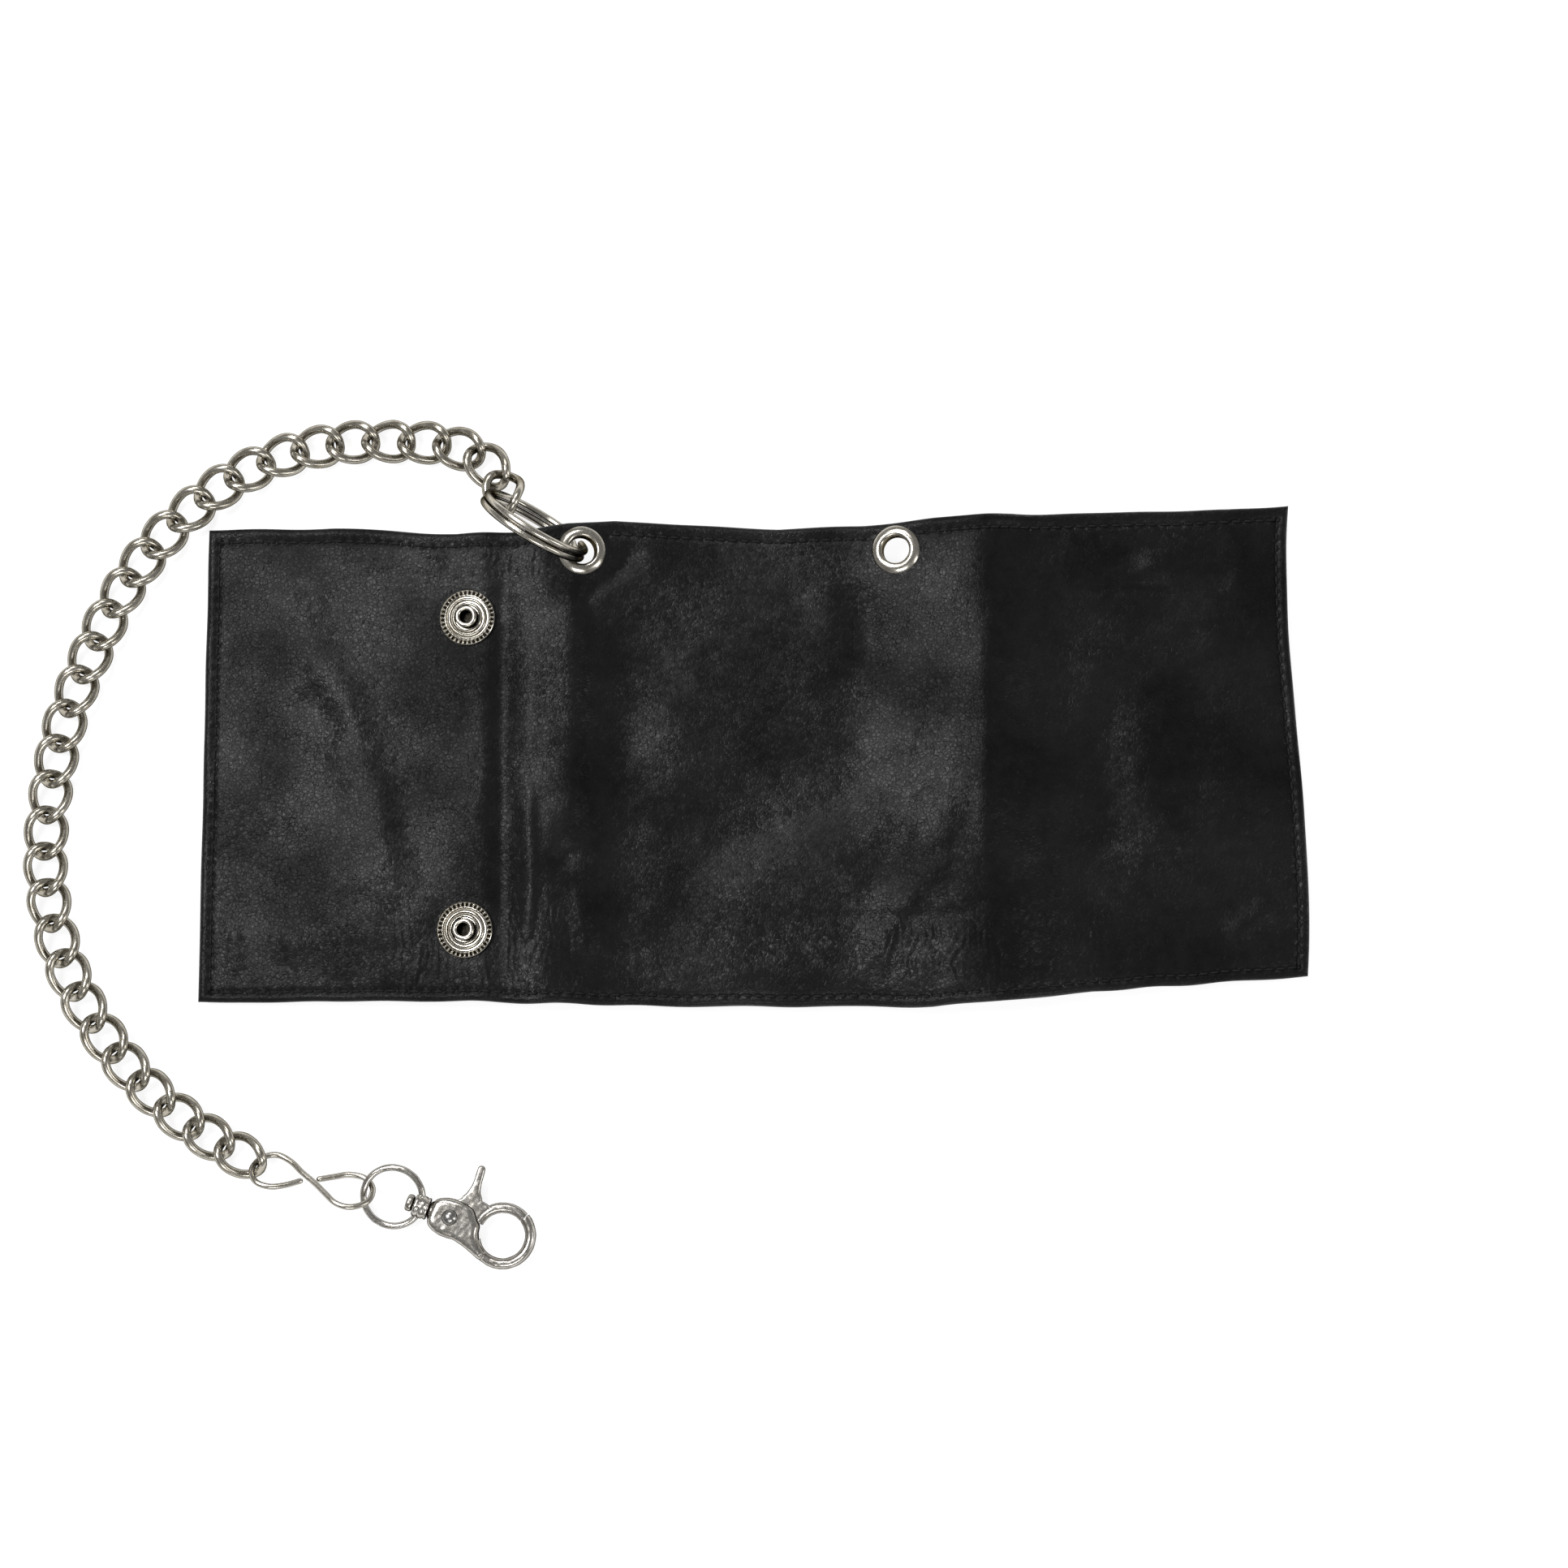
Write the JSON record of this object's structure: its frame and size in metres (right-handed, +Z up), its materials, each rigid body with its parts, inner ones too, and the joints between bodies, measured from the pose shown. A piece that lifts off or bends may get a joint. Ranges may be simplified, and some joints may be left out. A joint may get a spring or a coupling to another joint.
{
  "type": "chain wallet",
  "caption": "Three-fold black leather wallet lying open, outside up, with snap studs, eyelets and a curb chain ending in a swivel trigger hook.",
  "frame": {"origin": "on the table under the middle of the whole object, wallet and laid-out chain together", "axes": "+X along the open wallet towards its right panel, +Y towards the wallet edge with the eyelets, +Z up out of the outside face"},
  "size_m": [0.2776, 0.1826, 0.0245],
  "materials": {
    "leather": "black pebbled leather, satin",
    "lining": "black woven lining, matte",
    "nickel": "polished nickel plate",
    "steel": "plain steel",
    "clear": "clear soft plastic"
  },
  "bodies": {
    "center_panel": {"cover_center": "leather", "lining_center": "lining", "id_frame": "leather", "id_window": "clear", "eyelet_left": "nickel", "eyelet_right": "nickel", "eyelet_washer_left": "nickel", "eyelet_washer_right": "nickel"},
    "left_panel": {"cover_left": "leather", "lining_left": "lining", "card_slot_left_1": "leather", "card_slot_left_2": "leather", "snap_stud_top": "nickel", "snap_stud_bottom": "nickel", "snap_post_top": "nickel", "snap_post_bottom": "nickel"},
    "right_panel": {"cover_right": "leather", "lining_right": "lining", "card_slot_right": "leather", "snap_socket_top": "nickel", "snap_socket_bottom": "nickel"},
    "ring": {"key_ring": "nickel"},
    "link_00_body": {"link_00": "nickel"},
    "link_01_body": {"link_01": "nickel"},
    "link_02_body": {"link_02": "nickel"},
    "link_03_body": {"link_03": "nickel"},
    "link_04_body": {"link_04": "nickel"},
    "link_05_body": {"link_05": "nickel"},
    "link_06_body": {"link_06": "nickel"},
    "link_07_body": {"link_07": "nickel"},
    "link_08_body": {"link_08": "nickel"},
    "link_09_body": {"link_09": "nickel"},
    "link_10_body": {"link_10": "nickel"},
    "link_11_body": {"link_11": "nickel"},
    "link_12_body": {"link_12": "nickel"},
    "link_13_body": {"link_13": "nickel"},
    "link_14_body": {"link_14": "nickel"},
    "link_15_body": {"link_15": "nickel"},
    "link_16_body": {"link_16": "nickel"},
    "link_17_body": {"link_17": "nickel"},
    "link_18_body": {"link_18": "nickel"},
    "link_19_body": {"link_19": "nickel"},
    "link_20_body": {"link_20": "nickel"},
    "link_21_body": {"link_21": "nickel"},
    "link_22_body": {"link_22": "nickel"},
    "link_23_body": {"link_23": "nickel"},
    "link_24_body": {"link_24": "nickel"},
    "link_25_body": {"link_25": "nickel"},
    "link_26_body": {"link_26": "nickel"},
    "link_27_body": {"link_27": "nickel"},
    "link_28_body": {"link_28": "nickel"},
    "link_29_body": {"link_29": "nickel"},
    "link_30_body": {"link_30": "nickel"},
    "link_31_body": {"link_31": "nickel"},
    "s_link": {"s_hook": "nickel"},
    "bow": {"swivel_bow": "nickel"},
    "hook": {"hook_body": "nickel", "hook_rivet": "steel", "hook_spring": "steel"},
    "trigger": {"hook_trigger": "nickel"}
  },
  "joints": [
    {"name": "left_fold", "type": "hinge", "parent": "center_panel", "child": "left_panel", "pos_m": [-0.02667, 0.01628, 0.00519], "axis": [0, -1, 0], "range_deg": [-3, 174.5]},
    {"name": "right_fold", "type": "hinge", "parent": "center_panel", "child": "right_panel", "pos_m": [0.05953, 0.01628, 0.00231], "axis": [-0.0349, 0.9994, 0], "range_deg": [-3, 175]},
    {"name": "trigger_press", "type": "hinge", "parent": "hook", "child": "trigger", "pos_m": [-0.04687, -0.08042, 0.00325], "axis": [0, 0, 1], "range_deg": [0, 22], "stiffness_Nm_per_rad": 0.02, "springref_deg": -8.59},
    {"name": "hook_swivel", "type": "hinge", "parent": "bow", "child": "hook", "pos_m": [-0.04687, -0.08042, 0.00325], "axis": [0.9419, -0.336, 0], "continuous": true},
    {"name": "key_ring_swing", "type": "hinge", "parent": "center_panel", "child": "ring", "pos_m": [-0.0185, 0.06116, 0.00884], "axis": [0, 0, -1], "range_deg": [0, 25]},
    {"name": "link_00_turn", "type": "hinge", "parent": "ring", "child": "link_00_body", "pos_m": [-0.03522, 0.07351, 0.00549], "axis": [0, 0, -1], "range_deg": [0, 20]},
    {"name": "link_01_lift", "type": "hinge", "parent": "link_00_body", "child": "link_01_body", "pos_m": [-0.03668, 0.07829, 0.0034], "axis": [-0.8639, -0.5037, 0], "range_deg": [0, 5]},
    {"name": "link_02_turn", "type": "hinge", "parent": "link_01_body", "child": "link_02_body", "pos_m": [-0.04201, 0.08396, 0.00284], "axis": [0, 0, -1], "range_deg": [0, 20]},
    {"name": "link_03_lift", "type": "hinge", "parent": "link_02_body", "child": "link_03_body", "pos_m": [-0.04945, 0.08629, 0.00275], "axis": [0.1693, 0.9856, 0], "range_deg": [0, 5]},
    {"name": "link_04_turn", "type": "hinge", "parent": "link_03_body", "child": "link_04_body", "pos_m": [-0.05724, 0.08658, 0.00275], "axis": [0, 0, -1], "range_deg": [0, 20]},
    {"name": "link_05_lift", "type": "hinge", "parent": "link_04_body", "child": "link_05_body", "pos_m": [-0.06504, 0.08692, 0.00275], "axis": [-0.019, 0.9998, 0], "range_deg": [0, 5]},
    {"name": "link_06_turn", "type": "hinge", "parent": "link_05_body", "child": "link_06_body", "pos_m": [-0.07281, 0.08628, 0.00275], "axis": [0, 0, -1], "range_deg": [0, 20]},
    {"name": "link_07_lift", "type": "hinge", "parent": "link_06_body", "child": "link_07_body", "pos_m": [-0.08048, 0.08488, 0.00275], "axis": [-0.2521, 0.9677, 0], "range_deg": [0, 12]},
    {"name": "link_08_turn", "type": "hinge", "parent": "link_07_body", "child": "link_08_body", "pos_m": [-0.08786, 0.08236, 0.00275], "axis": [0, 0, -1], "range_deg": [0, 20]},
    {"name": "link_09_lift", "type": "hinge", "parent": "link_08_body", "child": "link_09_body", "pos_m": [-0.09482, 0.07883, 0.00275], "axis": [-0.5151, 0.8571, 0], "range_deg": [0, 12]},
    {"name": "link_10_turn", "type": "hinge", "parent": "link_09_body", "child": "link_10_body", "pos_m": [-0.1012, 0.07435, 0.00275], "axis": [0, 0, -1], "range_deg": [0, 20]},
    {"name": "link_11_lift", "type": "hinge", "parent": "link_10_body", "child": "link_11_body", "pos_m": [-0.10707, 0.0692, 0.00275], "axis": [-0.7014, 0.7128, 0], "range_deg": [0, 12]},
    {"name": "link_12_turn", "type": "hinge", "parent": "link_11_body", "child": "link_12_body", "pos_m": [-0.1123, 0.06342, 0.00275], "axis": [0, 0, -1], "range_deg": [0, 20]},
    {"name": "link_13_lift", "type": "hinge", "parent": "link_12_body", "child": "link_13_body", "pos_m": [-0.11681, 0.05706, 0.00275], "axis": [-0.8422, 0.5391, 0], "range_deg": [0, 12]},
    {"name": "link_14_turn", "type": "hinge", "parent": "link_13_body", "child": "link_14_body", "pos_m": [-0.1207, 0.0503, 0.00275], "axis": [0, 0, -1], "range_deg": [0, 20]},
    {"name": "link_15_lift", "type": "hinge", "parent": "link_14_body", "child": "link_15_body", "pos_m": [-0.1239, 0.04318, 0.00275], "axis": [-0.9176, 0.3975, 0], "range_deg": [0, 12]},
    {"name": "link_16_turn", "type": "hinge", "parent": "link_15_body", "child": "link_16_body", "pos_m": [-0.1269, 0.03599, 0.00275], "axis": [0, 0, -1], "range_deg": [0, 20]},
    {"name": "link_17_lift", "type": "hinge", "parent": "link_16_body", "child": "link_17_body", "pos_m": [-0.1296, 0.02866, 0.00275], "axis": [-0.9545, 0.2983, 0], "range_deg": [0, 12]},
    {"name": "link_18_turn", "type": "hinge", "parent": "link_17_body", "child": "link_18_body", "pos_m": [-0.13155, 0.02111, 0.00275], "axis": [0, 0, -1], "range_deg": [0, 20]},
    {"name": "link_19_lift", "type": "hinge", "parent": "link_18_body", "child": "link_19_body", "pos_m": [-0.13286, 0.01342, 0.00275], "axis": [-0.9895, 0.1443, 0], "range_deg": [0, 12]},
    {"name": "link_20_turn", "type": "hinge", "parent": "link_19_body", "child": "link_20_body", "pos_m": [-0.1338, 0.00568, 0.00275], "axis": [0, 0, -1], "range_deg": [0, 20]},
    {"name": "link_21_lift", "type": "hinge", "parent": "link_20_body", "child": "link_21_body", "pos_m": [-0.13426, -0.00211, 0.00275], "axis": [-1, -0.0067, 0], "range_deg": [0, 12]},
    {"name": "link_22_turn", "type": "hinge", "parent": "link_21_body", "child": "link_22_body", "pos_m": [-0.1337, -0.00988, 0.00275], "axis": [0, 0, -1], "range_deg": [0, 20]},
    {"name": "link_23_lift", "type": "hinge", "parent": "link_22_body", "child": "link_23_body", "pos_m": [-0.13231, -0.01756, 0.00275], "axis": [-0.9725, -0.2327, 0], "range_deg": [0, 12]},
    {"name": "link_24_turn", "type": "hinge", "parent": "link_23_body", "child": "link_24_body", "pos_m": [-0.13007, -0.02503, 0.00275], "axis": [0, 0, -1], "range_deg": [0, 20]},
    {"name": "link_25_lift", "type": "hinge", "parent": "link_24_body", "child": "link_25_body", "pos_m": [-0.12692, -0.03217, 0.00275], "axis": [-0.8909, -0.4542, 0], "range_deg": [0, 12]},
    {"name": "link_26_turn", "type": "hinge", "parent": "link_25_body", "child": "link_26_body", "pos_m": [-0.123, -0.03891, 0.00275], "axis": [0, 0, -1], "range_deg": [0, 20]},
    {"name": "link_27_lift", "type": "hinge", "parent": "link_26_body", "child": "link_27_body", "pos_m": [-0.11845, -0.04525, 0.00275], "axis": [-0.784, -0.6207, 0], "range_deg": [0, 12]},
    {"name": "link_28_turn", "type": "hinge", "parent": "link_27_body", "child": "link_28_body", "pos_m": [-0.11333, -0.05113, 0.00275], "axis": [0, 0, -1], "range_deg": [0, 20]},
    {"name": "link_29_lift", "type": "hinge", "parent": "link_28_body", "child": "link_29_body", "pos_m": [-0.10766, -0.05649, 0.00275], "axis": [-0.6483, -0.7614, 0], "range_deg": [0, 12]},
    {"name": "link_30_turn", "type": "hinge", "parent": "link_29_body", "child": "link_30_body", "pos_m": [-0.10146, -0.06123, 0.00275], "axis": [0, 0, -1], "range_deg": [0, 20]},
    {"name": "link_31_lift", "type": "hinge", "parent": "link_30_body", "child": "link_31_body", "pos_m": [-0.09483, -0.06532, 0.00274], "axis": [-0.5006, -0.8657, 0], "range_deg": [0, 12]},
    {"name": "s_hook_turn", "type": "hinge", "parent": "link_31_body", "child": "s_link", "pos_m": [-0.08823, -0.06942, 0.00324], "axis": [0, 0, 1], "range_deg": [0, 15]},
    {"name": "bow_turn", "type": "hinge", "parent": "s_link", "child": "bow", "pos_m": [-0.06432, -0.07451, 0.00347], "axis": [0, 0, 1], "range_deg": [0, 15]}
  ]
}
